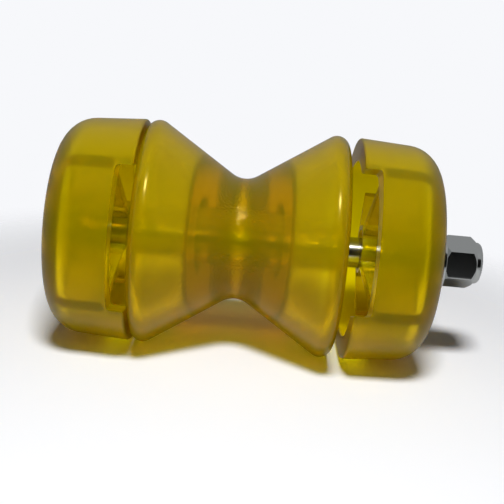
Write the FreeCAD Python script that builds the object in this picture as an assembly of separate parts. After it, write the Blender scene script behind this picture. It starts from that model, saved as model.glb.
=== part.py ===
import FreeCAD, Part
import math
import os

# Boat trailer roller with two end bells on one bolt, in millimetres.
# The bolt lies along X, the head on the left and the nut on the right. +Z is up, the notches face the front, -Y.
# The origin is on the bolt's axis, midway between the rims of the two bells. Spool and bells are bored for a
# five eighths pin and lie on a table, so the half inch bolt has dropped towards the bottom of their bores.

# Spool and bells have one outer diameter, and the bells' rims stand this far apart
roller_dia = 92.0
rim_distance = 87.2

# Bolt: a half inch hex bolt, nominally six and a half inches under the head
bolt_dia = 12.7
bolt_past_nut = 0.6
bolt_tip_chamfer = 1.2
head_flats = 19.05
head_height = 7.9
head_chamfer = 1.0
head_chamfer_deg = 30.0
head_turn = 12.0

# Lock nut: a steel hex with a round collar that is crimped over a nylon ring
nut_flats = 19.05
nut_hex_height = 13.2
nut_height = 15.9
nut_inner_chamfer = 3.2
nut_inner_face_dia = 18.45
nut_outer_chamfer = 3.2
nut_outer_face_dia = 18.6
nut_turn = 5.6
collar_dia = 17.2
collar_rounding = 1.5
collar_wall = 0.8
collar_mouth_dia = 13.6
collar_lip = 0.7
ring_length = 2.8
ring_lead = 0.5
thread_clearance = 0.05

# Washer under the nut
washer_dia = 27.0
washer_thickness = 2.4
washer_hole_dia = 13.5
washer_edge_rounding = 0.4

# Spool: the V shaped roller that carries the keel
spool_play = 4.8
spool_left_gap = 0.4
crest_rounding = 4.7
waist_dia = 50.2
waist_rounding = 9.5
spool_wall = 9.5
spool_core_depth = 19.0
spool_core_rounding = 4.0
spool_hub_dia = 20.4

# Bells: two end caps from one mould, open towards the spool
bell_width = 33.4
bell_taper_deg = 3.65
shoulder_rounding = 13.7
rim_rounding = 1.0
cup_dia = 73.0
cup_draft_deg = 1.0
cup_rounding = 4.0
end_wall = 8.0
bell_hub_dia = 20.4
bell_hub_depth = 4.4
left_bell_turn = 8.5
right_bell_turn = 19.4

# Notch in each rim, where the bracket's ear goes in
notch_width = 56.0
notch_depth = 6.5
notch_rounding = 1.5

# Ribs between the hub and the wall of a bell, with sloping free edges, the first one on a slant to the notch
rib_count = 4
first_rib = 45.0
rib_thickness = 5.0
rib_slope_deg = 8.0

# Recess in the closed end of a bell, which sinks the bolt's head, and the boss that backs it inside the cup
recess_dia = 27.0
recess_depth = 8.3
recess_floor = 2.2
boss_dia = 33.0

# Moulded bore of spool and bells, and the least room left between it and the bolt that lies in it
bore_dia = 16.5
bolt_clearance = 0.35

# Room between the washer and the closed end of the right bell
end_play = 3.0

roller_lift = (bore_dia - bolt_dia) / 2 - bolt_clearance
spool_length = rim_distance - spool_play
spool_shift = spool_left_gap - spool_play / 2
end_plane = rim_distance / 2 + bell_width
head_seat = end_plane - recess_depth
washer_seat = end_plane + end_play
nut_seat = washer_seat + washer_thickness
bolt_tip = nut_seat + nut_height + bolt_past_nut
past_end = 1.0
same_point = 1e-6

X_AXIS = FreeCAD.Vector(1, 0, 0)
Y_AXIS = FreeCAD.Vector(0, 1, 0)
ORIGIN = FreeCAD.Vector(0, 0, 0)


# Turned shapes

def rounded_outline(corners):
    """Closed face in the X-Z half plane. A corner is (x, radius from the axis, rounding)."""
    edges = []
    ends = []
    count = len(corners)
    for i, (x, r, rounding) in enumerate(corners):
        here = FreeCAD.Vector(x, 0, r)
        if rounding <= 0:
            ends.append((here, here))
            continue
        before = FreeCAD.Vector(corners[i - 1][0], 0, corners[i - 1][1]) - here
        after = FreeCAD.Vector(corners[(i + 1) % count][0], 0, corners[(i + 1) % count][1]) - here
        before.normalize()
        after.normalize()
        half = before.getAngle(after) / 2
        setback = rounding / math.tan(half)
        start = here + before * setback
        end = here + after * setback
        inward = before + after
        inward.normalize()
        middle = here + inward * (rounding / math.sin(half) - rounding)
        edges.append(Part.Arc(start, middle, end).toShape())
        ends.append((start, end))
    for i in range(count):
        start = ends[i][1]
        end = ends[(i + 1) % count][0]
        if start.distanceToPoint(end) > same_point:
            edges.append(Part.LineSegment(start, end).toShape())
    return Part.Face(Part.Wire(Part.__sortEdges__(edges)))


def turned(corners):
    """Solid of the outline turned about the X axis."""
    return rounded_outline(corners).revolve(ORIGIN, X_AXIS, 360)


def rod(start, end, diameter):
    """Plain round bar along X."""
    return Part.makeCylinder(diameter / 2, end - start, FreeCAD.Vector(start, 0, 0), X_AXIS)


def hex_bar(start, end, flats, turn):
    """Hexagonal bar along X, one flat facing -Y and lifted by the angle turn."""
    corner = flats / math.sqrt(3)
    points = []
    for k in range(7):
        angle = math.radians(30 + 60 * k - turn)
        points.append(FreeCAD.Vector(start, -corner * math.cos(angle), -corner * math.sin(angle)))
    return Part.Face(Part.makePolygon(points)).extrude(FreeCAD.Vector(end - start, 0, 0))


# Fasteners

def hex_bolt():
    """Hex bolt with its head to the left, seated on the floor of the left bell's recess."""
    far = head_flats / math.sqrt(3) + past_end
    face = head_flats / 2
    outer = -head_seat - head_height
    chamfer_slope = math.tan(math.radians(head_chamfer_deg))
    envelope = turned([
        (outer, 0, 0),
        (outer, face - head_chamfer, 0),
        (outer + (far - face + head_chamfer) * chamfer_slope, far, 0),
        (-head_seat, far, 0),
        (-head_seat, 0, 0),
    ])
    head = hex_bar(outer, -head_seat, head_flats, head_turn).common(envelope)
    shank = turned([
        (-head_seat - past_end, 0, 0),
        (-head_seat - past_end, bolt_dia / 2, 0),
        (bolt_tip - bolt_tip_chamfer, bolt_dia / 2, 0),
        (bolt_tip, bolt_dia / 2 - bolt_tip_chamfer, 0),
        (bolt_tip, 0, 0),
    ])
    return head.fuse(shank).removeSplitter()


def lock_nut_body():
    """Steel hex nut with a domed collar, hollow for the nylon ring."""
    far = nut_flats / math.sqrt(3) + past_end
    collar = collar_dia / 2
    hex_end = nut_seat + nut_hex_height
    tip = nut_seat + nut_height
    envelope = turned([
        (nut_seat, 0, 0),
        (nut_seat, nut_inner_face_dia / 2, 0),
        (nut_seat + nut_inner_chamfer, far, 0),
        (hex_end - nut_outer_chamfer, far, 0),
        (hex_end, nut_outer_face_dia / 2, 0),
        (hex_end, collar, 0),
        (tip, collar, collar_rounding),
        (tip, 0, 0),
    ])
    body = hex_bar(nut_seat, tip, nut_flats, nut_turn).common(envelope)
    hole = rod(nut_seat - past_end, tip + past_end, bolt_dia + 2 * thread_clearance)
    groove = rod(tip - collar_lip - ring_length, tip - collar_lip, collar_dia - 2 * collar_wall)
    mouth = rod(tip - collar_lip, tip + past_end, collar_mouth_dia)
    return body.cut([hole, groove, mouth])


def nylon_ring():
    """Nylon ring that grips the thread, held in the collar of the lock nut."""
    tip = nut_seat + nut_height
    inner = bolt_dia / 2 + thread_clearance
    outer = collar_dia / 2 - collar_wall
    start = tip - collar_lip - ring_length
    return turned([
        (start, inner, 0),
        (start, outer, 0),
        (tip - collar_lip, outer, 0),
        (tip - collar_lip, inner + ring_lead, 0),
        (tip - collar_lip - ring_lead, inner, 0),
    ])


def flat_washer():
    """Flat washer between the right bell and the nut."""
    inner = washer_hole_dia / 2
    outer = washer_dia / 2
    return turned([
        (washer_seat, inner, 0),
        (washer_seat, outer, washer_edge_rounding),
        (nut_seat, outer, washer_edge_rounding),
        (nut_seat, inner, 0),
    ])


# Spool

def cone_angle():
    """Slope of the V, from the line that touches the waist's rounding from below and the crest's from above."""
    waist_to_crest = spool_length / 2 - crest_rounding
    rise = (roller_dia / 2 - crest_rounding) - (waist_dia / 2 + waist_rounding)
    distance = math.hypot(waist_to_crest, rise)
    return math.atan2(rise, waist_to_crest) + math.asin((waist_rounding + crest_rounding) / distance)


def spool_core(angle, corner_radius):
    """Room cored out of the spool's right end, parallel to the V and round the hub."""
    end = spool_length / 2
    mouth = corner_radius - spool_wall / math.cos(angle)
    slope = math.tan(angle)
    hub = spool_hub_dia / 2
    floor = end - spool_core_depth
    return turned([
        (end + past_end, hub, 0),
        (end + past_end, mouth + past_end * slope, 0),
        (floor, mouth - spool_core_depth * slope, spool_core_rounding),
        (floor, hub, spool_core_rounding / 2),
    ])


def spool_roller():
    """V shaped roller with rounded crests, a round waist, cored ends and a bore for the bolt."""
    angle = cone_angle()
    end = spool_length / 2
    crest = roller_dia / 2 - crest_rounding * (1 - math.cos(angle))
    corner_radius = crest + crest_rounding * (1 + math.sin(angle)) * math.tan(angle)
    waist_corner = corner_radius - end * math.tan(angle)
    body = turned([
        (-end, 0, 0),
        (-end, corner_radius, crest_rounding),
        (0, waist_corner, waist_rounding),
        (end, corner_radius, crest_rounding),
        (end, 0, 0),
    ])
    right_core = spool_core(angle, corner_radius)
    left_core = right_core.mirror(ORIGIN, X_AXIS)
    bore = rod(-end - past_end, end + past_end, bore_dia)
    spool = body.cut([right_core, left_core, bore])
    spool.translate(FreeCAD.Vector(spool_shift, 0, roller_lift))
    return spool


# Bells, built with the rim at x = 0, the closed end to the right and the notch facing -Y

def bell_shell():
    """Tapered drum with a large rounded shoulder at its closed end."""
    rim = roller_dia / 2
    end_radius = rim - bell_width * math.tan(math.radians(bell_taper_deg))
    return turned([
        (0, 0, 0),
        (0, rim, rim_rounding),
        (bell_width, end_radius, shoulder_rounding),
        (bell_width, 0, 0),
    ])


def bell_ribs():
    """Hub, boss and ribs that stand in the cup, the ribs' free edges sloping away from the hub's end."""
    reach = cup_dia / 2 + past_end
    root = bell_width - end_wall + past_end
    hub = rod(bell_hub_depth, root, bell_hub_dia)
    boss = rod(bell_width - recess_depth - recess_floor, root, boss_dia)
    fall = (reach - bell_hub_dia / 2) * math.tan(math.radians(rib_slope_deg))
    outline = Part.makePolygon([
        FreeCAD.Vector(bell_hub_depth, -rib_thickness / 2, 0),
        FreeCAD.Vector(bell_hub_depth, -rib_thickness / 2, bell_hub_dia / 2),
        FreeCAD.Vector(bell_hub_depth + fall, -rib_thickness / 2, reach),
        FreeCAD.Vector(root, -rib_thickness / 2, reach),
        FreeCAD.Vector(root, -rib_thickness / 2, 0),
        FreeCAD.Vector(bell_hub_depth, -rib_thickness / 2, 0),
    ])
    rib = Part.Face(outline).extrude(FreeCAD.Vector(0, rib_thickness, 0))
    joined = [boss]
    for k in range(rib_count):
        turned_rib = rib.copy()
        turned_rib.rotate(ORIGIN, X_AXIS, first_rib + 360 * k / rib_count)
        joined.append(turned_rib)
    return hub.fuse(joined)


def bell_cup():
    """Room inside the bell, open at the rim."""
    depth = bell_width - end_wall
    mouth = cup_dia / 2
    floor = mouth - depth * math.tan(math.radians(cup_draft_deg))
    return turned([
        (0, 0, 0),
        (0, mouth, 0),
        (depth, floor, cup_rounding),
        (depth, 0, 0),
    ])


def rim_notch():
    """Slot through the rim on one side, as deep as the bracket's ear is thick."""
    reach = roller_dia / 2 + past_end
    slot = Part.makeBox(notch_depth + past_end, reach, notch_width,
                        FreeCAD.Vector(-past_end, -reach, -notch_width / 2))
    floor_edges = []
    for edge in slot.Edges:
        middle = edge.CenterOfMass
        at_floor = abs(middle.x - notch_depth) < same_point
        at_side = abs(abs(middle.z) - notch_width / 2) < same_point
        if at_floor and at_side:
            floor_edges.append(edge)
    return slot.makeFillet(notch_rounding, floor_edges)


def bell():
    """One bell, as it leaves the mould."""
    hollow = bell_shell().cut([bell_cup(), rim_notch()])
    bore = rod(-past_end, bell_width + past_end, bore_dia)
    recess = rod(bell_width - recess_depth, bell_width + past_end, recess_dia)
    return hollow.fuse(bell_ribs()).cut([bore, recess]).removeSplitter()


def right_bell():
    """Bell on the nut's side, its notch lifted to the angle at which it lies."""
    shape = bell()
    shape.rotate(ORIGIN, X_AXIS, -right_bell_turn)
    shape.translate(FreeCAD.Vector(rim_distance / 2, 0, roller_lift))
    return shape


def left_bell():
    """Bell on the head's side, the same moulding turned round."""
    shape = bell()
    shape.rotate(ORIGIN, Y_AXIS, 180)
    shape.rotate(ORIGIN, X_AXIS, -left_bell_turn)
    shape.translate(FreeCAD.Vector(-rim_distance / 2, 0, roller_lift))
    return shape


pieces = {
    "hex_bolt": hex_bolt,
    "lock_nut_body": lock_nut_body,
    "nylon_ring": nylon_ring,
    "flat_washer": flat_washer,
    "spool_roller": spool_roller,
    "left_bell": left_bell,
    "right_bell": right_bell,
}

os.makedirs("parts", exist_ok=True)
for name, make in pieces.items():
    shape = make()
    shape.exportStep("parts/" + name + ".step")
    box = shape.BoundBox
    print(name, "solids", len(shape.Solids), "valid", shape.isValid(), "volume", round(shape.Volume),
          "x", round(box.XMin, 2), round(box.XMax, 2))
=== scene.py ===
"""Looks of a boat trailer roller: amber moulded spool and end bells on a zinc plated bolt with a lock nut."""
import logging
import math
from dataclasses import dataclass
from enum import Enum

import bmesh
import bpy
import numpy as np
from mathutils import Matrix, Vector


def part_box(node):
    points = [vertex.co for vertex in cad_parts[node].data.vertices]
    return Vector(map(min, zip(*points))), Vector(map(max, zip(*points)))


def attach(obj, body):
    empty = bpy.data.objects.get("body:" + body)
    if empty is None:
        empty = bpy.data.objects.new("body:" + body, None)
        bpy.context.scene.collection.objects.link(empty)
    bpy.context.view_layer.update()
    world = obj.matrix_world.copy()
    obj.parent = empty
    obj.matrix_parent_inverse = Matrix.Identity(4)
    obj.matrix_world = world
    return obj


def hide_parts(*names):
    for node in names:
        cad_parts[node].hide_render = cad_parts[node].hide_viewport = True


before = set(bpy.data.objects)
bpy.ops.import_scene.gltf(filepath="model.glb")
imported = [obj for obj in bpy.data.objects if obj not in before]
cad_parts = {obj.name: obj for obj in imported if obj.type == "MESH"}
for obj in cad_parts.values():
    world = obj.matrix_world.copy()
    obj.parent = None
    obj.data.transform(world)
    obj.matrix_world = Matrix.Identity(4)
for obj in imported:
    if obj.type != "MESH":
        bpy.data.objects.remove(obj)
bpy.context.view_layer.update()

LOG = logging.getLogger("trailer_roller")
MM = 0.001
FULL_TURN = 2 * math.pi
# Corners closer than this, in metres, become one.
MERGE_DISTANCE = 0.002 * MM
# Play in comparisons, in millimetres.
TOUCH = 0.01
# Edges that turn by more than this stay sharp.
SHARP_MOULDING_DEG = 50
SHARP_STEEL_DEG = 40


class Side(Enum):
    """Which end of the roller a bell closes; the value is the way its closed end points along X."""

    LEFT = -1
    RIGHT = 1


# How far each bell's notch is turned up from the front, as in the photograph.
NOTCH_LIFTS_DEG = {Side.LEFT: 8.5, Side.RIGHT: 19.4}


@dataclass(frozen=True)
class Corner:
    """One corner of a turned outline, in millimetres: place along the axis, radius and rounding."""

    x: float
    r: float
    rounding: float = 0.0


# Outlines and meshes

def straight(start: np.ndarray, end: np.ndarray, spacing: float) -> np.ndarray:
    """Points from start up to, but not with, end, at equal steps no longer than spacing.

    Args:
        start: First point as (x, r).
        end: Point at which the next stretch begins.
        spacing: Longest step in millimetres.

    Returns:
        Points as rows.
    """
    steps = max(1, math.ceil(float(np.linalg.norm(end - start)) / spacing))
    share = np.arange(steps)[:, None] / steps
    return start + (end - start) * share


def outline(corners: list[Corner], spacing: float, arc_step_deg: float) -> np.ndarray:
    """Closed outline with each corner rounded by an arc that touches both sides.

    Args:
        corners: Corners in order round the section.
        spacing: Longest straight step in millimetres.
        arc_step_deg: Longest step along an arc, in degrees of turning.

    Returns:
        Points as rows of (x, r).
    """
    spots = np.array([(c.x, c.r) for c in corners])
    starts, arcs = [], []
    for corner, here, before, after in zip(corners, spots, np.roll(spots, 1, 0), np.roll(spots, -1, 0)):
        if corner.rounding <= 0:
            starts.append(here)
            arcs.append(here[None, :])
            continue
        to_before = (before - here) / np.linalg.norm(before - here)
        to_after = (after - here) / np.linalg.norm(after - here)
        half = math.acos(float(np.clip(to_before @ to_after, -1, 1))) / 2
        inward = (to_before + to_after) / np.linalg.norm(to_before + to_after)
        centre = here + inward * corner.rounding / math.sin(half)
        first = here + to_before * corner.rounding / math.tan(half)
        last = here + to_after * corner.rounding / math.tan(half)
        steps = max(2, math.ceil((180 - math.degrees(2 * half)) / arc_step_deg))
        begin = math.atan2(*(first - centre)[::-1])
        turn = (math.atan2(*(last - centre)[::-1]) - begin + math.pi) % FULL_TURN - math.pi
        angles = begin + turn * np.arange(steps + 1) / steps
        starts.append(first)
        arcs.append(centre + corner.rounding * np.column_stack([np.cos(angles), np.sin(angles)]))
    rows = []
    for i, arc in enumerate(arcs):
        rows.append(arc[:-1])
        rows.append(straight(arc[-1], starts[(i + 1) % len(arcs)], spacing))
    return np.vstack(rows)


def closed_grid(points: np.ndarray, hollow: bool = True) -> tuple[np.ndarray, np.ndarray]:
    """Corners and four-sided faces of a grid whose columns go round the axis.

    Args:
        points: Array of shape (rows, columns, 3).
        hollow: Whether the last row joins the first, like a ring. Otherwise both lie on the axis.

    Returns:
        Points as rows, and faces as rows of four indices.
    """
    rows, columns, _ = points.shape
    index = np.arange(rows * columns).reshape(rows, columns)
    across = np.roll(index, -1, 1)
    down = np.roll(index, -1, 0)
    both = np.roll(down, -1, 1)
    faces = np.stack([index, across, both, down], -1)
    return points.reshape(-1, 3), (faces if hollow else faces[:-1]).reshape(-1, 4)


def new_piece(name: str, points: np.ndarray, faces: np.ndarray, sharp_deg: float) -> bpy.types.Object:
    """Object made of the given faces, merged, closed, turned outwards and smooth up to an angle.

    Args:
        name: Name of the object and its mesh.
        points: Corners in metres, in the row's frame.
        faces: Rows of four indices.
        sharp_deg: Edges that turn by more than this stay sharp.

    Returns:
        The object, linked to the scene.
    """
    mesh = bpy.data.meshes.new(name)
    mesh.from_pydata(points.tolist(), [], faces.tolist())
    work = bmesh.new()
    work.from_mesh(mesh)
    bmesh.ops.remove_doubles(work, verts=work.verts, dist=MERGE_DISTANCE)
    bmesh.ops.dissolve_degenerate(work, edges=work.edges, dist=MERGE_DISTANCE)
    bmesh.ops.recalc_face_normals(work, faces=work.faces)
    work.to_mesh(mesh)
    work.free()
    mesh.shade_smooth()
    mesh.set_sharp_from_angle(angle=math.radians(sharp_deg))
    piece = bpy.data.objects.new(name, mesh)
    bpy.context.scene.collection.objects.link(piece)
    return piece


def turned(along: np.ndarray, radius: np.ndarray, angles: np.ndarray) -> np.ndarray:
    """Grid turned about X: y is minus radius times the cosine of the angle, and z is radius times its sine.

    Args:
        along: Places along X in millimetres, of shape (points, angles) or (points, 1).
        radius: Radii in millimetres, shaped likewise.
        angles: Angles from the front, -Y, up over the top, in radians.

    Returns:
        Points in millimetres, of shape (points, angles, 3).
    """
    grid = np.broadcast_arrays(along, -radius * np.cos(angles), radius * np.sin(angles))
    return np.stack(grid, -1)


def hexagon(flats: float, rounding: float, turn_deg: float, steps: int) -> tuple[np.ndarray, np.ndarray]:
    """Angles and radii of a hexagon with rounded corners, one flat to the front and lifted by turn_deg.

    On a flat the radius is half the width over flats divided by the cosine of the angle from the flat's
    middle. On a corner it is c cos b + sqrt(rounding^2 - c^2 sin^2 b), with b the angle from the corner's
    middle and c the distance of the rounding's centre.

    Args:
        flats: Width over the flats in millimetres.
        rounding: Radius of the corners in millimetres.
        turn_deg: Lift of the front flat in degrees.
        steps: Columns on half a flat.

    Returns:
        Angles in radians from the front, up over the top, and the radius at each.
    """
    half, corner, corner_steps = flats / 2, math.radians(30), 5
    end = math.atan((half - rounding) * math.tan(corner) / half)
    flat_part = np.linspace(0, end, steps, endpoint=False)
    part = np.concatenate([flat_part, np.linspace(end, corner, corner_steps)])
    part = np.concatenate([-part[:0:-1], part])[:-1]
    centre = (half - rounding) / math.cos(corner)
    away = corner - np.abs(part)
    arc = centre * np.cos(away) + np.sqrt(np.clip(rounding ** 2 - (centre * np.sin(away)) ** 2, 0, None))
    radius = np.where(np.abs(part) <= end, half / np.cos(part), arc)
    angles = np.concatenate([part + k * 2 * corner for k in range(6)]) + math.radians(turn_deg)
    return angles, np.tile(radius, 6)


def between(stops: list[tuple], steps: list[int]) -> tuple[np.ndarray, np.ndarray]:
    """Rows between the stops of a profile whose places and radii may differ from column to column.

    Args:
        stops: Pairs of (x, r); each is a number or one value per column.
        steps: Number of rows from each stop to the next.

    Returns:
        Places along X and radii, each of shape (rows, columns).
    """
    columns = max(np.size(v) for stop in stops for v in stop)
    full = [np.stack([np.broadcast_to(v, columns) for v in stop]) for stop in stops]
    rows = [here + (after - here) * k / count
            for here, after, count in zip(full, full[1:], steps) for k in range(count)]
    rows.append(full[-1])
    return np.array(rows)[:, 0], np.array(rows)[:, 1]


def quarter(reach: np.ndarray, radius: float) -> np.ndarray:
    """Height of a quarter round: root of radius squared less reach squared, with reach held to the round."""
    return np.sqrt(np.clip(radius ** 2 - np.clip(reach, 0, radius) ** 2, 0, None))


def sheet(name: str, corners: list[tuple[float, float, float]]) -> bpy.types.Object:
    """One four-sided face.

    Args:
        name: Name of the object and its mesh.
        corners: Its corners in order, in millimetres.

    Returns:
        The object, linked to the scene.
    """
    mesh = bpy.data.meshes.new(name)
    mesh.from_pydata([tuple(v * MM for v in corner) for corner in corners], [], [(0, 1, 2, 3)])
    piece = bpy.data.objects.new(name, mesh)
    bpy.context.scene.collection.objects.link(piece)
    return piece


# Finishes

def linear(code: str) -> tuple[float, float, float, float]:
    """Colour of an sRGB hex code such as d8a020, in linear light with full alpha."""
    parts = [int(code[i:i + 2], 16) / 255 for i in (0, 2, 4)]
    light = [v / 12.92 if v <= 0.04045 else ((v + 0.055) / 1.055) ** 2.4 for v in parts]
    return light[0], light[1], light[2], 1.0


def add(material: bpy.types.Material | bpy.types.World, kind: str, links: dict | None = None,
        **settings: object) -> bpy.types.Node:
    """Adds one node.

    Args:
        material: Material or world whose tree the node goes in.
        kind: Blender's name of the node type.
        links: Input name to the output socket that feeds it.
        settings: Node properties, or input values where the node has an input of that name
            with spaces for underscores.

    Returns:
        The node.
    """
    node = material.node_tree.nodes.new(kind)
    for key, value in settings.items():
        socket = key.replace("_", " ")
        if hasattr(node, key) and key[0].islower():
            setattr(node, key, value)
        else:
            node.inputs[socket].default_value = value
    for socket, source in (links or {}).items():
        material.node_tree.links.new(source, node.inputs[socket])
    return node


def fresh_material(name: str) -> bpy.types.Material:
    """Empty node material of that name."""
    material = bpy.data.materials.new(name)
    material.use_nodes = True
    material.node_tree.nodes.clear()
    return material


@dataclass(frozen=True)
class AmberPolymer:
    """Injection moulded amber polymer: clear gold in thin walls, dark orange where light goes a long way.

    Lengths are in millimetres, and radii are measured from the roller's axis, which lies axis_lift above the
    bolt's. Faces within core_radius were left by the mould's core and are smoother than the skin.
    """

    name: str = "amber polymer, moulded"
    tint: str = "f2ea00"
    absorb: str = "fcf800"
    mirror: str = "6a6020"
    lamp_filter: str = "a4b464"
    density: float = 500.0
    skin_roughness: float = 0.2
    waist_roughness: float = 0.05
    core_roughness: float = 0.07
    core_radius: float = 10.4
    core_fade: float = 0.3
    waist_radius: float = 27.0
    waist_fade: float = 4.0
    grain: float = 1.0
    relief: float = 0.3
    axis_lift: float = 1.55
    ior: float = 1.5
    clearness: float = 0.84

    def material(self) -> bpy.types.Material:
        """Skin over a volume that takes out blue first and then green; lamps shine through it onto the floor.

        The skin is hazy. Round the waist, where keels rub, it is clearer but grainy and breaks highlights
        into glints. The grain is drawn coarser than the real one, so that it shows.

        Returns:
            The material.
        """
        made = fresh_material(self.name)
        place = add(made, "ShaderNodeTexCoord")
        across = add(made, "ShaderNodeVectorMath", {0: place.outputs["Object"]}, operation="MULTIPLY_ADD")
        across.inputs[1].default_value = (0, 1, 1)
        across.inputs[2].default_value = (0, 0, -self.axis_lift * MM)
        radius = add(made, "ShaderNodeVectorMath", {0: across.outputs["Vector"]}, operation="LENGTH")
        away = radius.outputs["Value"]
        waist_end = self.waist_radius + self.waist_fade
        skin = {"From_Min": self.core_radius * MM, "From_Max": (self.core_radius + self.core_fade) * MM}
        rubbed = {"From_Min": self.waist_radius * MM, "From_Max": waist_end * MM}
        haze = add(made, "ShaderNodeMapRange", {"Value": away}, **rubbed,
                   To_Min=self.waist_roughness, To_Max=self.skin_roughness)
        matt = add(made, "ShaderNodeMapRange", {"Value": away, "To Max": haze.outputs["Result"]}, **skin,
                   To_Min=self.core_roughness)
        worn = add(made, "ShaderNodeMapRange", {"Value": away}, **rubbed, To_Min=1.0, To_Max=0.0)
        grainy = add(made, "ShaderNodeMapRange", {"Value": away, "To Max": worn.outputs["Result"]}, **skin)
        grain = add(made, "ShaderNodeTexNoise", {"Vector": place.outputs["Object"]},
                    Scale=1 / (self.grain * MM), Detail=2.0)
        relief = add(made, "ShaderNodeBump",
                     {"Strength": grainy.outputs["Result"], "Height": grain.outputs["Fac"]},
                     Distance=self.relief * MM)
        shell = add(made, "ShaderNodeBsdfPrincipled",
                    {"Roughness": matt.outputs["Result"], "Normal": relief.outputs["Normal"]},
                    Base_Color=linear(self.tint), IOR=self.ior, Transmission_Weight=self.clearness,
                    Specular_Tint=linear(self.mirror))
        inside = add(made, "ShaderNodeVolumeAbsorption", Color=linear(self.absorb), Density=self.density)
        rays = add(made, "ShaderNodeLightPath")
        filtered = add(made, "ShaderNodeBsdfTransparent", Color=linear(self.lamp_filter))
        both = add(made, "ShaderNodeMixShader",
                   {"Fac": rays.outputs["Is Shadow Ray"], 1: shell.outputs["BSDF"],
                    2: filtered.outputs["BSDF"]})
        add(made, "ShaderNodeOutputMaterial",
            {"Surface": both.outputs["Shader"], "Volume": inside.outputs["Volume"]})
        return made


@dataclass(frozen=True)
class ZincPlate:
    """Bright zinc plated steel: a pale metal with the soft, even shine of the plating bath."""

    name: str = "steel, bright zinc plated"
    colour: str = "d2d5d3"
    roughness: float = 0.13

    def material(self) -> bpy.types.Material:
        """Plain metal with one soft shine."""
        made = fresh_material(self.name)
        shell = add(made, "ShaderNodeBsdfPrincipled", Base_Color=linear(self.colour),
                    Roughness=self.roughness, Metallic=1.0)
        add(made, "ShaderNodeOutputMaterial", {"Surface": shell.outputs["BSDF"]})
        return made


@dataclass(frozen=True)
class RingNylon:
    """Natural nylon, turned: a dull off-white."""

    name: str = "nylon, turned"
    colour: str = "e4e2d8"
    roughness: float = 0.5

    def material(self) -> bpy.types.Material:
        """Plain matt plastic."""
        made = fresh_material(self.name)
        shell = add(made, "ShaderNodeBsdfPrincipled", Base_Color=linear(self.colour),
                    Roughness=self.roughness)
        add(made, "ShaderNodeOutputMaterial", {"Surface": shell.outputs["BSDF"]})
        return made


SPOOL_POLYMER = AmberPolymer(mirror="d0b860")
BELL_POLYMER = AmberPolymer("amber polymer, moulded bells", skin_roughness=0.28, core_roughness=0.15,
                            core_radius=36.6, waist_radius=0.0, lamp_filter="7c8844", relief=0.0)
# The bolt's zinc is rougher than the nut's, and its colour is drawn darker than the nut's as painted shade
# for the dim inside of the roller.
BOLT_ZINC_SHADED = ZincPlate("steel, zinc plated, darkened as painted shade", "a8aba8", 0.18)
NUT_ZINC = ZincPlate()


def dress(piece: bpy.types.Object, material: bpy.types.Material) -> None:
    """Gives a piece its only material."""
    piece.data.materials.clear()
    piece.data.materials.append(material)


# Sub-assemblies

@dataclass
class SpoolRoller:
    """The V shaped roller, turned about the bolt with cored ends and a bore."""

    node: str = "spool_roller"
    body: str = "spool"
    crest_rounding: float = 4.7
    waist_dia: float = 50.2
    waist_rounding: float = 9.5
    wall: float = 9.5
    core_depth: float = 19.0
    core_rounding: float = 4.0
    hub_dia: float = 20.4
    bore_dia: float = 16.5
    edge_rounding: float = 0.6
    spacing: float = 1.5
    arc_step_deg: float = 9.0
    columns: int = 256

    def __post_init__(self) -> None:
        """Takes length, place and outer size from the frame."""
        low, high = (np.array(v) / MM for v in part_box(self.node))
        self.centre_x = float(low[0] + high[0]) / 2
        self.centre_z = float(low[2] + high[2]) / 2
        self.half_length = float(high[0] - low[0]) / 2
        self.crest = float(high[2] - low[2]) / 2

    def corners(self) -> list[Corner]:
        """Corners of the section, whose V touches the waist's rounding from below and the crest's from above.

        Returns:
            Corners in order, from the waist out along the right end and back along the left one.
        """
        across = self.half_length - self.crest_rounding
        rise = (self.crest - self.crest_rounding) - (self.waist_dia / 2 + self.waist_rounding)
        slope = math.atan2(rise, across)
        slope += math.asin((self.waist_rounding + self.crest_rounding) / math.hypot(across, rise))
        crest = self.crest - self.crest_rounding * (1 - math.cos(slope))
        corner = crest + self.crest_rounding * (1 + math.sin(slope)) * math.tan(slope)
        end, bore, hub = self.half_length, self.bore_dia / 2, self.hub_dia / 2
        mouth = corner - self.wall / math.cos(slope)
        floor = mouth - self.core_depth * math.tan(slope)
        right = [
            Corner(end, corner, self.crest_rounding),
            Corner(end, mouth, self.edge_rounding),
            Corner(end - self.core_depth, floor, self.core_rounding),
            Corner(end - self.core_depth, hub, self.core_rounding / 2),
            Corner(end, hub, self.edge_rounding),
            Corner(end, bore, self.edge_rounding),
        ]
        left = [Corner(-c.x, c.r, c.rounding) for c in reversed(right)]
        waist = Corner(0, corner - end * math.tan(slope), self.waist_rounding)
        return [waist, *right, *left]

    def build(self, finish: bpy.types.Material) -> bpy.types.Object:
        """Turns the section into the spool and dresses it.

        Args:
            finish: Material of the moulding.

        Returns:
            The spool.
        """
        angles = np.arange(self.columns) * FULL_TURN / self.columns
        section = outline(self.corners(), self.spacing, self.arc_step_deg)
        grid = turned(section[:, :1] + self.centre_x, section[:, 1:], angles)
        grid[..., 2] += self.centre_z
        points, faces = closed_grid(grid * MM)
        piece = new_piece("spool_moulding", points, faces, SHARP_MOULDING_DEG)
        dress(piece, finish)
        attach(piece, self.body)
        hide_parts(self.node)
        return piece


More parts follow.
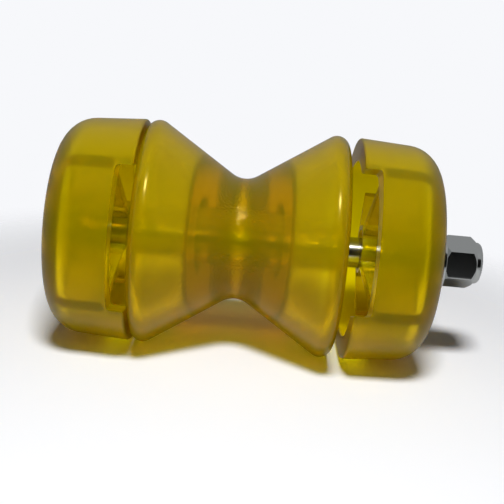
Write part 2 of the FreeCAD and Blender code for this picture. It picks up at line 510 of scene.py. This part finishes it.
@dataclass
class EndBell:
    """One end bell: a tapered drum with a cup, a hub, four ribs and a notch for the bracket's ear.

    Lengths are in millimetres. mark_step is the angle, in radians, between marks that close up.
    """

    side: Side
    notch_lift_deg: float
    taper_deg: float = 3.65
    shoulder_rounding: float = 13.7
    rim_rounding: float = 1.0
    edge_rounding: float = 0.6
    cup_dia: float = 73.0
    cup_draft_deg: float = 1.0
    cup_rounding: float = 4.0
    end_wall: float = 8.0
    hub_dia: float = 20.4
    hub_depth: float = 4.4
    bore_dia: float = 16.5
    recess_dia: float = 27.0
    recess_depth: float = 8.3
    recess_floor: float = 2.2
    boss_dia: float = 33.0
    notch_width: float = 56.0
    notch_depth: float = 6.5
    notch_rounding: float = 1.5
    first_rib_deg: float = 45.0
    rib_thickness: float = 5.0
    rib_slope_deg: float = 8.0
    rib_foot: float = 1.0
    rib_brow: float = 0.5
    rib_margin: float = 1.0
    mouth_margin: float = 0.3
    blend_start: float = 0.3
    blend_length: float = 1.2
    mark_step: float = 0.004
    spacing: float = 1.2
    arc_step_deg: float = 9.0
    columns: int = 30

    def __post_init__(self) -> None:
        """Takes the bell's place, width and outer size from the frame."""
        self.node = self.side.name.lower() + "_bell"
        self.body = self.side.name.lower() + "_cap"
        low, high = (np.array(v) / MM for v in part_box(self.node))
        self.width = float(high[0] - low[0])
        self.rim_x = float(low[0] if self.side is Side.RIGHT else high[0])
        self.centre_z = float(low[2] + high[2]) / 2
        self.rim = float(high[2] - low[2]) / 2

    def section(self) -> np.ndarray:
        """Closed section from the rim over the outside, recess, bore and hub to the cup and back.

        Returns:
            Points in millimetres, as rows of (depth behind the rim, radius).
        """
        end_radius = self.rim - self.width * math.tan(math.radians(self.taper_deg))
        bore, hub, recess, mouth = self.bore_dia / 2, self.hub_dia / 2, self.recess_dia / 2, self.cup_dia / 2
        depth = self.width - self.end_wall
        floor = mouth - depth * math.tan(math.radians(self.cup_draft_deg))
        boss, boss_x = self.boss_dia / 2, self.width - self.recess_depth - self.recess_floor
        edge = self.edge_rounding
        return outline([
            Corner(0, self.rim, self.rim_rounding),
            Corner(self.width, end_radius, self.shoulder_rounding),
            Corner(self.width, recess, edge),
            Corner(self.width - self.recess_depth, recess, edge),
            Corner(self.width - self.recess_depth, bore, edge / 2),
            Corner(self.hub_depth, bore, edge),
            Corner(self.hub_depth, hub, edge),
            Corner(boss_x, hub, self.rib_foot),
            Corner(boss_x, boss, edge),
            Corner(depth, boss, self.rib_foot),
            Corner(depth, floor, self.cup_rounding),
            Corner(0, mouth, edge),
        ], self.spacing, self.arc_step_deg)

    def rib_share(self, x: np.ndarray, radius: np.ndarray) -> np.ndarray:
        """How far the columns follow the ribs: 0 outside and in the mouth, 1 in the cup and on the hub.

        Args:
            x: Place of each point along the axis.
            radius: Radius of each point.

        Returns:
            Shares from 0 to 1, of shape (points, 1).
        """
        depth, cup = self.width - self.end_wall, self.cup_dia / 2
        wall = np.clip((x - self.notch_depth - self.blend_start) / self.blend_length, 0, 1)
        bore = np.clip((depth - x) / (depth - self.hub_depth - self.rib_margin), 0, 1)
        within = (radius < cup + TOUCH) & (x < depth + TOUCH)
        share = np.where(within, np.where(radius < cup - self.rib_margin, 1, wall), 0)
        return np.where(radius < self.bore_dia / 2 + TOUCH, bore, share)[:, None]

    def angles(self, x: np.ndarray, radius: np.ndarray) -> np.ndarray:
        """Angles of the columns at each point of the section, which follow the sides of notch and ribs.

        Half a turn is laid out by marks: the sine of a mark's angle from the middle of its notch or rib is
        its distance from that middle over the radius. In the cup the notch's marks close up beside the rib's,
        and outside the rib's close up beside the notch's. Between marks the columns are evenly spread, and
        the other half is the mirror image.

        Args:
            x: Place of each point along the axis.
            radius: Radius of each point.

        Returns:
            Angles in radians, of shape (points, columns).
        """
        beside_rib = np.array([-0.8, -0.5, -0.25, -0.08, -TOUCH, TOUCH, 0.15, 0.4, 0.7, 1.0])
        off_rib = self.rib_thickness / 2 + beside_rib
        off_rib = np.concatenate([-off_rib[::-1], [0], off_rib])
        within_notch = np.array([1.5, 0.9, 0.45, 0.15, TOUCH, -TOUCH, -0.15, -0.35, -0.6])
        side = self.notch_width / 2 - within_notch
        spread = np.arcsin(off_rib / np.maximum(radius, self.hub_dia / 2)[:, None])
        first = math.radians(self.first_rib_deg)
        rib, rear_rib = first + spread, math.pi - first + spread
        notch = np.arcsin(side / np.maximum(radius, self.cup_dia / 2)[:, None])
        share = self.rib_share(x, radius)
        before_notch = notch[:, :1] - self.mark_step * np.arange(len(off_rib), 0, -1)
        after_rib = rib[:, -1:] + self.mark_step * np.arange(1, len(side) + 1)
        rib_marks = share * rib + (1 - share) * before_notch
        notch_marks = share * after_rib + (1 - share) * notch
        begin, end = np.zeros((len(radius), 1)), np.full((len(radius), 1), math.pi)
        groups = [begin, np.concatenate([rib_marks, notch_marks], 1), rear_rib, end]
        parts = [begin]
        for before, after, count in zip(groups, groups[1:], (self.columns, 2 * self.columns, self.columns)):
            steps = np.arange(1, count) / count
            parts += [before[:, -1:] + (after[:, :1] - before[:, -1:]) * steps, after]
        half = np.concatenate(parts, 1)
        return np.concatenate([half, FULL_TURN - half[:, 1:-1][:, ::-1]], 1)

    def surface(self) -> np.ndarray:
        """Grid of the bell in its own frame, rim at zero and notch to the front.

        The section is turned about X. Where a point lies within the notch its x is raised to the notch's
        floor, and in the cup it is lowered to the rib's free edge, which slopes away from the hub. Edges and
        feet are quarter rounds across the side of the notch or rib.

        Returns:
            Points in millimetres, of shape (points, columns, 3).
        """
        section = self.section()
        radius = section[:, 1]
        theta = self.angles(section[:, 0], radius)
        x = np.broadcast_to(section[:, :1], theta.shape).copy()
        r = np.broadcast_to(radius[:, None], theta.shape)
        y, z = -r * np.cos(theta), r * np.sin(theta)
        depth = self.width - self.end_wall
        within_cup = (r > self.hub_dia / 2 - TOUCH) & (r < self.cup_dia / 2 + TOUCH)
        inner = within_cup & (x > 0) & (x < depth + TOUCH)
        first = math.radians(self.first_rib_deg)
        cos, sin = math.cos(first), math.sin(first)
        across = np.minimum(np.abs(y * sin + z * cos), np.abs(z * sin - y * cos)) - self.rib_thickness / 2
        top = self.hub_depth + (r - self.hub_dia / 2) * math.tan(math.radians(self.rib_slope_deg))
        brow, foot = self.rib_brow, self.rib_foot
        crown = top + brow - quarter(across + brow, brow)
        skirt = depth - foot + quarter(foot - across, foot)
        ledge = np.where(across < 0, crown, np.where(across < foot, skirt, depth))
        x = np.where(inner, np.minimum(x, ledge), x)
        inset = self.notch_width / 2 - np.abs(z)
        fillet, lip = self.notch_rounding, self.edge_rounding
        low = self.notch_depth - fillet + quarter(fillet - inset, fillet)
        high = lip - quarter(inset + lip, lip)
        cut = np.where(inset > 0, low, high)
        front = (y < 0) & (r > self.cup_dia / 2 - self.mouth_margin)
        x = np.where(front & (x < self.notch_depth), np.maximum(x, cut), x)
        return np.stack([x, y, z], -1)

    def build(self, finish: bpy.types.Material) -> bpy.types.Object:
        """Places the bell's surface at its end of the bolt and dresses it.

        Args:
            finish: Material of the moulding.

        Returns:
            The bell.
        """
        grid = self.surface()
        grid[..., 0] *= self.side.value
        lift = math.radians(-self.notch_lift_deg)
        y, z = grid[..., 1].copy(), grid[..., 2].copy()
        grid[..., 1] = y * math.cos(lift) - z * math.sin(lift)
        grid[..., 2] = y * math.sin(lift) + z * math.cos(lift)
        grid += (self.rim_x, 0, self.centre_z)
        points, faces = closed_grid(grid * MM)
        piece = new_piece(self.node + "_moulding", points, faces, SHARP_MOULDING_DEG)
        dress(piece, finish)
        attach(piece, self.body)
        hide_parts(self.node)
        return piece


@dataclass
class HexBolt:
    """Half inch hex bolt with a rolled thread, 13 turns to the inch."""

    node: str = "hex_bolt"
    body: str = "bolt_set"
    shank_dia: float = 12.7
    head_flats: float = 19.05
    head_height: float = 7.9
    head_chamfer: float = 1.0
    head_chamfer_deg: float = 30.0
    head_turn: float = 12.0
    corner_rounding: float = 0.3
    fillet: float = 0.5
    plain_start: float = 2.0
    pitch: float = 1.954
    thread_length: float = 39.0
    thread_share: float = 0.61
    flank_deg: float = 60.0
    rows_per_pitch: int = 16
    tip_chamfer: float = 1.2

    def __post_init__(self) -> None:
        """Takes the bolt's two ends from the frame."""
        low, high = (np.array(v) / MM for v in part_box(self.node))
        self.outer, self.tip = float(low[0]), float(high[0])

    def thread_depth(self, along: np.ndarray, angles: np.ndarray) -> np.ndarray:
        """Depth of the thread below the shank's surface.

        With u the distance from the crest's middle along the bolt, which moves one pitch for every turn, the
        depth is (|u| - pitch / 16) times the flank's tangent, held between 0 and thread_share pitches, and it
        fades in over one pitch.

        Args:
            along: Places along X in millimetres, of shape (rows, 1).
            angles: Angles of the columns in radians.

        Returns:
            Depths in millimetres, of shape (rows, columns).
        """
        turns = (along - self.tip) / self.pitch - angles / FULL_TURN
        off_crest = np.abs(turns - np.round(turns)) * self.pitch
        deepest = self.thread_share * self.pitch
        depth = np.clip((off_crest - self.pitch / 16) * math.tan(math.radians(self.flank_deg)), 0, deepest)
        start = self.tip - self.thread_length
        return depth * np.clip((along - start) / self.pitch, 0, 1)

    def build(self, finish: bpy.types.Material) -> bpy.types.Object:
        """Makes head, shank and thread as one closed surface and dresses it.

        Args:
            finish: Material of the bolt.

        Returns:
            The bolt.
        """
        angles, hexagonal = hexagon(self.head_flats, self.corner_rounding, self.head_turn, 8)
        face = self.head_flats / 2 - self.head_chamfer
        seat, shank = self.outer + self.head_height, self.shank_dia / 2
        brow = self.outer + (hexagonal - face) * math.tan(math.radians(self.head_chamfer_deg))
        head_x, head_r = between(
            [(self.outer, 0), (self.outer, face), (brow, hexagonal), (seat, hexagonal),
             (seat, shank + self.fillet), (seat + self.fillet, shank)], [3, 3, 4, 3, 3])
        plain = np.linspace(seat + self.plain_start, self.tip - self.thread_length, 12)
        threaded = np.arange(self.tip - self.thread_length, self.tip, self.pitch / self.rows_per_pitch)[1:]
        along = np.concatenate([plain, threaded, [self.tip]])[:, None]
        envelope = np.minimum(shank, shank - self.tip_chamfer + (self.tip - along))
        body_r = np.minimum(envelope, shank - self.thread_depth(along, angles))
        end_x, end_r = np.full((2, len(angles)), self.tip), np.stack([body_r[-1] / 2, body_r[-1] * 0])
        grid = turned(np.concatenate([head_x, np.broadcast_to(along, body_r.shape), end_x]),
                      np.concatenate([head_r, body_r, end_r]), angles)
        points, faces = closed_grid(grid * MM, hollow=False)
        piece = new_piece("bolt_forging", points, faces, SHARP_STEEL_DEG)
        dress(piece, finish)
        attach(piece, self.body)
        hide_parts(self.node)
        return piece


@dataclass
class LockNut:
    """Steel of the lock nut: a hexagon chamfered at both faces and a collar with a domed edge.

    The height of a chamfer is what it takes off at chamfer_reach beyond the hexagon's sharp corners.
    """

    node: str = "lock_nut_body"
    body: str = "bolt_set"
    flats: float = 19.05
    hex_height: float = 13.2
    inner_chamfer: float = 3.2
    inner_face_dia: float = 18.45
    outer_chamfer: float = 3.2
    outer_face_dia: float = 18.6
    chamfer_reach: float = 1.0
    turn: float = 5.6
    corner_rounding: float = 0.35
    hole_dia: float = 12.8
    collar_dia: float = 17.2
    collar_foot: float = 0.2
    collar_rounding: float = 1.5
    collar_wall: float = 0.8
    mouth_dia: float = 13.6
    lip: float = 0.7
    ring_length: float = 2.8

    def build(self, finish: bpy.types.Material) -> bpy.types.Object:
        """Makes the nut as one closed surface, inside and out, and dresses it.

        Args:
            finish: Material of the nut.

        Returns:
            The nut.
        """
        low, high = (np.array(v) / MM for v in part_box(self.node))
        seat, tip = float(low[0]), float(high[0])
        far = self.flats / math.sqrt(3) + self.chamfer_reach
        angles, hexagonal = hexagon(self.flats, self.corner_rounding, self.turn, 10)
        hex_end = seat + self.hex_height
        inner, outer = self.inner_face_dia / 2, self.outer_face_dia / 2
        hole, collar, mouth = self.hole_dia / 2, self.collar_dia / 2, self.mouth_dia / 2
        rise = seat + (hexagonal - inner) * self.inner_chamfer / (far - inner)
        fall = hex_end - (hexagonal - outer) * self.outer_chamfer / (far - outer)
        bend = np.radians([0, 15, 30, 45, 60, 75, 90])
        rounding, foot = self.collar_rounding, self.collar_foot
        dome = [(tip - rounding * (1 - math.sin(a)), collar - rounding * (1 - math.cos(a))) for a in bend]
        groove = collar - self.collar_wall
        ring_end = tip - self.lip
        ring_start = ring_end - self.ring_length
        stops = [(seat, hole), (seat, inner), (rise, hexagonal), (fall, hexagonal), (hex_end, outer),
                 (hex_end, collar + foot), (hex_end + foot, collar), *dome, (tip, mouth), (ring_end, mouth),
                 (ring_end, groove), (ring_start, groove), (ring_start, hole)]
        steps = [2, 4, 5, 5, 1, 1, 2] + [1] * len(bend) + [1] * 4
        grid = turned(*between(stops, steps), angles)
        points, faces = closed_grid(grid * MM)
        piece = new_piece("nut_forging", points, faces, SHARP_STEEL_DEG)
        dress(piece, finish)
        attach(piece, self.body)
        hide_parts(self.node)
        return piece


def dress_solid(node: str, finish: bpy.types.Material) -> None:
    """Gives a CAD solid that is shown as it is its material."""
    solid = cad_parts[node]
    solid.data.materials.clear()
    solid.data.materials.append(finish)


# Studio

@dataclass(frozen=True)
class Studio:
    """White paper, a dark card, one soft lamp, pale surroundings and the camera of the photograph.

    Places and sizes are in millimetres. A paper level is how light the paper is to rays of that kind.
    """

    camera_distance: float = 366.0
    camera_side: float = 2.05
    elevation_deg: float = 15.0
    roll_deg: float = 5.09
    focal_px: float = 876.0
    frame_px: float = 504.0
    aim_left_px: float = 2.4
    aim_up_px: float = 12.5
    sensor: float = 36.0
    axis_lift: float = 1.55
    floor_z: float = -44.65
    paper: str = "f7f8fb"
    paper_half: float = 3000.0
    paper_shown: float = 1.2
    paper_mirrored: float = 0.65
    paper_through: float = 1.8
    paper_solid: float = 140.0
    paper_gone: float = 260.0
    room_light: float = 0.06
    room_mirrored: float = 0.36
    room_through: float = 0.64
    horizon: float = 0.8
    horizon_height: float = 0.3
    card_colour: str = "2c2c2c"
    card_half: float = 420.0
    card_low: float = -44.0
    card_high: float = 250.0
    card_y: float = -300.0
    key_place: tuple[float, float, float] = (0, -380, 640)
    key_aim: tuple[float, float, float] = (0, 0, 0)
    key_size: tuple[float, float] = (170, 140)
    key_watts: float = 5.0

    def camera(self) -> bpy.types.Object:
        """Camera that looks at the bolt's axis from the front and a little above, rolled as in the photo.

        Returns:
            The camera, which is the scene's own.
        """
        lift = math.radians(self.elevation_deg)
        roll = math.radians(self.roll_deg)
        ahead = Vector((0, math.cos(lift), -math.sin(lift)))
        upward = Vector((0, math.sin(lift), math.cos(lift)))
        level = Vector((1, 0, 0))
        right = level * math.cos(roll) + upward * math.sin(roll)
        above = upward * math.cos(roll) - level * math.sin(roll)
        lifted = Vector((0, 0, self.axis_lift))
        place = (level * self.camera_side - ahead * self.camera_distance + lifted) * MM
        to_right, to_below = self.aim_left_px / self.focal_px, self.aim_up_px / self.focal_px
        forward = ahead + right * to_right - above * to_below
        forward.normalize()
        right = (right - forward * right.dot(forward)).normalized()
        above = right.cross(forward)
        data = bpy.data.cameras.new("studio_camera")
        data.sensor_width = self.sensor
        data.lens = self.focal_px * self.sensor / self.frame_px
        data.clip_start = 0.01
        camera = bpy.data.objects.new("studio_camera", data)
        camera.matrix_world = Matrix((
            (right.x, above.x, -forward.x, place.x),
            (right.y, above.y, -forward.y, place.y),
            (right.z, above.z, -forward.z, place.z),
            (0, 0, 0, 1),
        ))
        bpy.context.scene.collection.objects.link(camera)
        bpy.context.scene.camera = camera
        return camera

    def floor(self) -> bpy.types.Object:
        """White paper that the roller lies on; it shows as plain near-white around the shadow.

        Returns:
            The paper.
        """
        half, flat = self.paper_half, self.floor_z
        piece = sheet("paper_floor", [(-half, -half, flat), (half, -half, flat), (half, half, flat),
                                      (-half, half, flat)])
        made = fresh_material("paper, matt white")
        rays = add(made, "ShaderNodeLightPath")
        level = add(made, "ShaderNodeValue")
        level.outputs["Value"].default_value = 1.0
        result = level.outputs["Value"]
        for kind, share in (("Glossy", self.paper_mirrored), ("Transmission", self.paper_through),
                            ("Camera", self.paper_shown)):
            level = add(made, "ShaderNodeMapRange",
                        {"Value": rays.outputs[f"Is {kind} Ray"], "To Min": result}, To_Max=share)
            result = level.outputs["Result"]
        white = add(made, "ShaderNodeVectorMath", {"Scale": result}, operation="SCALE")
        white.inputs[0].default_value = linear(self.paper)[:3]
        shell = add(made, "ShaderNodeBsdfDiffuse", {"Color": white.outputs["Vector"]})
        clear = add(made, "ShaderNodeBsdfTransparent")
        place = add(made, "ShaderNodeTexCoord")
        reach = add(made, "ShaderNodeVectorMath", {"Vector": place.outputs["Object"]}, operation="LENGTH")
        fade = add(made, "ShaderNodeMapRange", {"Value": reach.outputs["Value"]},
                   interpolation_type="SMOOTHSTEP", From_Min=self.paper_solid * MM,
                   From_Max=self.paper_gone * MM)
        both = add(made, "ShaderNodeMixShader",
                   {"Fac": fade.outputs["Result"], 1: shell.outputs["BSDF"], 2: clear.outputs["BSDF"]})
        add(made, "ShaderNodeOutputMaterial", {"Surface": both.outputs["Shader"]})
        piece.data.materials.append(made)
        return piece

    def lamp(self) -> None:
        """Soft area lamp above the camera's side, facing the roller."""
        data = bpy.data.lights.new("key", "AREA")
        data.shape = "RECTANGLE"
        data.size, data.size_y = self.key_size[0] * MM, self.key_size[1] * MM
        data.energy = self.key_watts
        lamp = bpy.data.objects.new("key", data)
        lamp.location = Vector(self.key_place) * MM
        aim = Vector(self.key_aim) - Vector(self.key_place)
        lamp.rotation_euler = aim.to_track_quat("-Z", "Y").to_euler()
        bpy.context.scene.collection.objects.link(lamp)

    def world(self) -> None:
        """Pale surroundings, a little dimmer near the horizon.

        They are dim on matt surfaces and brighter in mirrors, through clear pieces and to the camera.
        """
        world = bpy.data.worlds.new("studio_surroundings")
        bpy.context.scene.world = world
        world.use_nodes = True
        world.node_tree.nodes.clear()
        rays = add(world, "ShaderNodeLightPath")
        place = add(world, "ShaderNodeTexCoord")
        parts = add(world, "ShaderNodeSeparateXYZ", {"Vector": place.outputs["Generated"]})
        steep = add(world, "ShaderNodeMath", {0: parts.outputs["Z"]}, operation="ABSOLUTE")
        upward = add(world, "ShaderNodeMapRange", {"Value": steep.outputs["Value"]},
                     interpolation_type="SMOOTHSTEP", From_Min=0.0, From_Max=self.horizon_height,
                     To_Min=self.horizon, To_Max=1.0)
        through = add(world, "ShaderNodeMapRange", {"Value": rays.outputs["Is Transmission Ray"]},
                      To_Min=self.room_light, To_Max=self.room_through)
        mirrored = add(world, "ShaderNodeMath", {0: rays.outputs["Is Glossy Ray"]}, operation="MULTIPLY")
        mirrored.inputs[1].default_value = self.room_mirrored
        level = add(world, "ShaderNodeMath", {0: through.outputs["Result"], 1: mirrored.outputs["Value"]},
                    operation="MAXIMUM")
        shaded = add(world, "ShaderNodeMath", {0: level.outputs["Value"], 1: upward.outputs["Result"]},
                     operation="MULTIPLY")
        shown = add(world, "ShaderNodeMath", {0: shaded.outputs["Value"], 1: rays.outputs["Is Camera Ray"]},
                    operation="MAXIMUM")
        sky = add(world, "ShaderNodeBackground", {"Strength": shown.outputs["Value"]},
                  Color=linear(self.paper))
        add(world, "ShaderNodeOutputWorld", {"Surface": sky.outputs["Background"]})

    def flag(self) -> bpy.types.Object:
        """Dark card before the roller, unseen by the camera, which keeps white reflections off its front.

        Returns:
            The card.
        """
        half, y, low, high = self.card_half, self.card_y, self.card_low, self.card_high
        card = sheet("dark_card", [(-half, y, low), (half, y, low), (half, y, high), (-half, y, high)])
        made = fresh_material("card, matt black")
        shell = add(made, "ShaderNodeBsdfDiffuse", Color=linear(self.card_colour))
        add(made, "ShaderNodeOutputMaterial", {"Surface": shell.outputs["BSDF"]})
        card.data.materials.append(made)
        card.visible_camera = False
        return card

    def build(self) -> None:
        """Puts up floor, card, surroundings, lamp and camera."""
        self.floor()
        self.flag()
        self.world()
        self.lamp()
        self.camera()
        bpy.context.scene.view_settings.view_transform = "Standard"


def main() -> None:
    """Builds the roller's pieces in order, then the studio."""
    logging.basicConfig(level=logging.INFO, format="%(message)s")
    spool = SpoolRoller().build(SPOOL_POLYMER.material())
    LOG.info("%s: %d faces", spool.name, len(spool.data.polygons))
    polymer = BELL_POLYMER.material()
    for side, lift_deg in NOTCH_LIFTS_DEG.items():
        bell = EndBell(side, lift_deg).build(polymer)
        LOG.info("%s: %d faces", bell.name, len(bell.data.polygons))
    plate = NUT_ZINC.material()
    # dull: the bolt's rougher zinc, whose colour is darkened as painted shade.
    dull = BOLT_ZINC_SHADED.material()
    for fastener, finish in ((HexBolt(), dull), (LockNut(), plate)):
        piece = fastener.build(finish)
        LOG.info("%s: %d faces", piece.name, len(piece.data.polygons))
    dress_solid("flat_washer", plate)
    dress_solid("nylon_ring", RingNylon().material())
    Studio().build()


if __name__ == "__main__":
    main()
